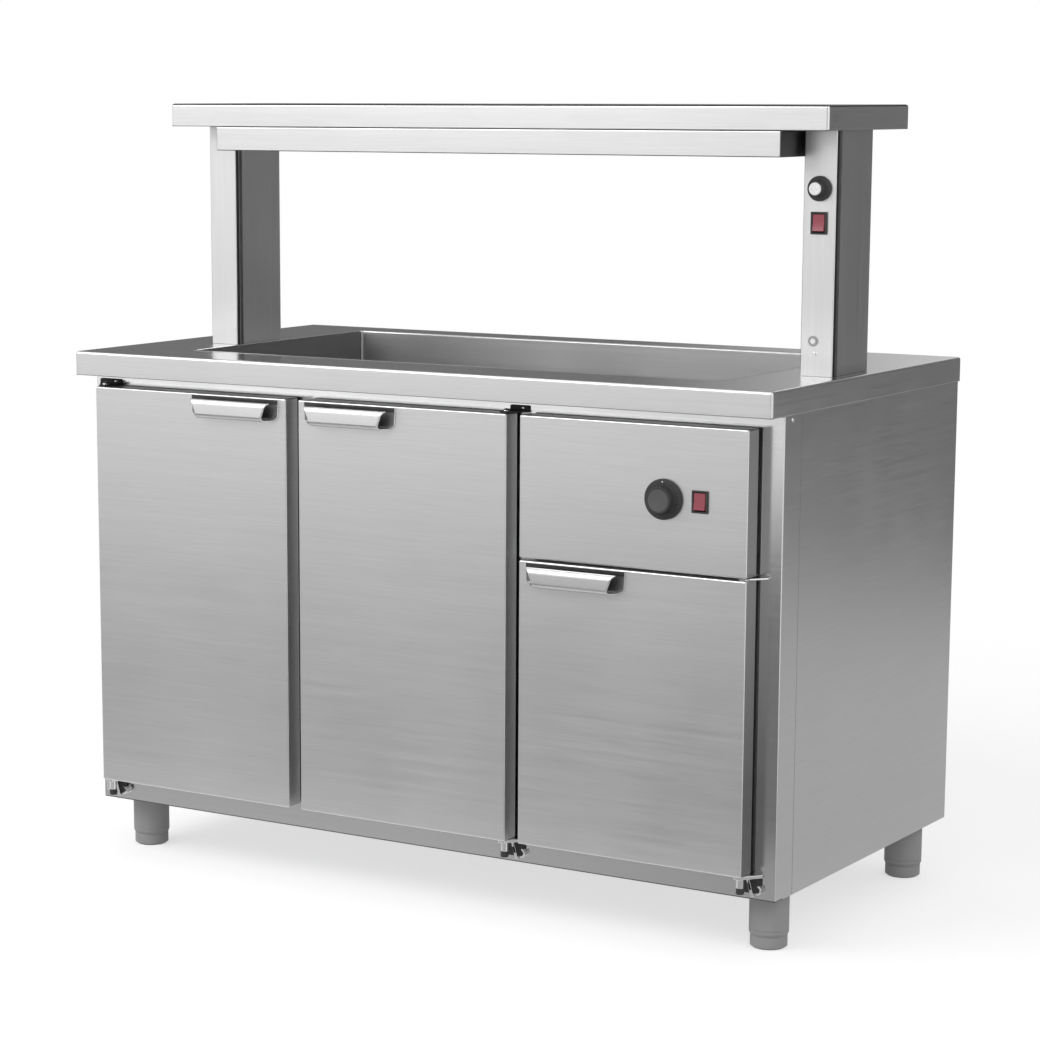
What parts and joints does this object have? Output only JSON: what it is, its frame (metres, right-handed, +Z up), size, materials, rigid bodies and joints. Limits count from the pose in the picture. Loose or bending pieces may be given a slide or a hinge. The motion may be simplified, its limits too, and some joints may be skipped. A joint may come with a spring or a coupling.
{
  "type": "heated bain-marie counter",
  "caption": "Free-standing stainless steel bain-marie counter with a sunken heated well, hinged cupboard doors, a control panel and a heated overshelf on two posts.",
  "frame": {"origin": "on the floor, at the middle of the overall width and depth", "axes": "+X along the counter to the right as seen from the door side, +Y from the doors to the back, +Z up"},
  "size_m": [1.3, 0.7108, 1.28],
  "materials": {
    "steel": "satin stainless steel",
    "frame_steel": "bright stainless steel",
    "inner_steel": "dull stainless steel",
    "chrome": "polished",
    "rubber": "matt black",
    "black_plastic": "matt black",
    "red_plastic": "translucent dark red",
    "grey_plastic": "satin grey",
    "wool": "mineral wool board",
    "brass": "plain",
    "quartz": "clear quartz"
  },
  "bodies": {
    "cabinet": {"countertop": "steel", "well_tank": "steel", "insulation_jacket": "wool", "heating_element": "inner_steel", "drain_valve": "brass", "front_frame": "frame_steel", "side_panel_left": "steel", "side_panel_right": "steel", "back_panel": "steel", "floor_panel": "inner_steel", "bay_partition": "inner_steel", "bay_divider": "inner_steel", "control_panel": "steel", "panel_gasket": "rubber", "thermostat_body": "black_plastic", "main_switch_body": "black_plastic", "terminal_block": "black_plastic", "cable_gland": "black_plastic", "door_left_lower_hinge": "chrome", "door_left_upper_hinge": "chrome", "door_middle_lower_hinge": "chrome", "door_middle_upper_hinge": "chrome", "door_right_lower_hinge": "chrome", "door_right_upper_hinge": "chrome", "leg_front_left": "grey_plastic", "leg_front_right": "grey_plastic", "leg_rear_left": "grey_plastic", "leg_rear_right": "grey_plastic", "post_left_core": "steel", "post_left_cover": "steel", "post_right_core": "steel", "post_right_cover": "steel", "overshelf": "steel", "lamp_housing": "steel", "lamp_reflector": "chrome", "lamp_tube": "quartz", "regulator_body": "black_plastic", "lamp_switch_body": "black_plastic", "post_plug": "grey_plastic"},
    "door_left": {"door_left_skin": "steel", "door_left_liner": "inner_steel", "door_left_gasket": "rubber", "door_left_handle": "steel"},
    "door_middle": {"door_middle_skin": "steel", "door_middle_liner": "inner_steel", "door_middle_gasket": "rubber", "door_middle_handle": "steel"},
    "door_right": {"door_right_skin": "steel", "door_right_liner": "inner_steel", "door_right_gasket": "rubber", "door_right_handle": "steel"},
    "thermostat_knob": {"thermostat_knob": "black_plastic"},
    "main_switch_rocker": {"main_switch_rocker": "red_plastic"},
    "regulator_knob": {"regulator_knob": "black_plastic"},
    "lamp_switch_rocker": {"lamp_switch_rocker": "red_plastic"},
    "drain_lever": {"drain_lever": "red_plastic"},
    "foot_front_left": {"foot_front_left": "grey_plastic"},
    "foot_front_right": {"foot_front_right": "grey_plastic"},
    "foot_rear_left": {"foot_rear_left": "grey_plastic"},
    "foot_rear_right": {"foot_rear_right": "grey_plastic"}
  },
  "joints": [
    {"name": "door_left_hinge", "type": "hinge", "parent": "cabinet", "child": "door_left", "pos_m": [-0.6075, -0.3166, 0.1335], "axis": [0, 0, -1], "range_deg": [0, 95]},
    {"name": "door_middle_hinge", "type": "hinge", "parent": "cabinet", "child": "door_middle", "pos_m": [0.1825, -0.3166, 0.1335], "axis": [0, 0, 1], "range_deg": [0, 95]},
    {"name": "door_right_hinge", "type": "hinge", "parent": "cabinet", "child": "door_right", "pos_m": [0.5985, -0.3166, 0.1335], "axis": [0, 0, 1], "range_deg": [0, 95]},
    {"name": "thermostat_turn", "type": "hinge", "parent": "cabinet", "child": "thermostat_knob", "pos_m": [0.468, -0.3331, 0.699], "axis": [0, 1, 0], "range_deg": [0, 270]},
    {"name": "main_switch_tip", "type": "hinge", "parent": "cabinet", "child": "main_switch_rocker", "pos_m": [0.529, -0.3314, 0.699], "axis": [1, 0, 0], "range_deg": [0, 12]},
    {"name": "regulator_turn", "type": "hinge", "parent": "cabinet", "child": "regulator_knob", "pos_m": [0.5985, -0.0916, 1.155], "axis": [0, 1, 0], "range_deg": [0, 270]},
    {"name": "lamp_switch_tip", "type": "hinge", "parent": "cabinet", "child": "lamp_switch_rocker", "pos_m": [0.5985, -0.0899, 1.103], "axis": [1, 0, 0], "range_deg": [0, 12]},
    {"name": "drain_lever_turn", "type": "hinge", "parent": "cabinet", "child": "drain_lever", "pos_m": [0.429, -0.0099, 0.511], "axis": [0, 1, 0], "range_deg": [0, 90]},
    {"name": "foot_front_left_screw", "type": "slide", "parent": "cabinet", "child": "foot_front_left", "axis": [0, 0, -1], "range_m": [0, 0.03]},
    {"name": "foot_front_right_screw", "type": "slide", "parent": "cabinet", "child": "foot_front_right", "axis": [0, 0, -1], "range_m": [0, 0.03]},
    {"name": "foot_rear_left_screw", "type": "slide", "parent": "cabinet", "child": "foot_rear_left", "axis": [0, 0, -1], "range_m": [0, 0.03]},
    {"name": "foot_rear_right_screw", "type": "slide", "parent": "cabinet", "child": "foot_rear_right", "axis": [0, 0, -1], "range_m": [0, 0.03]}
  ]
}
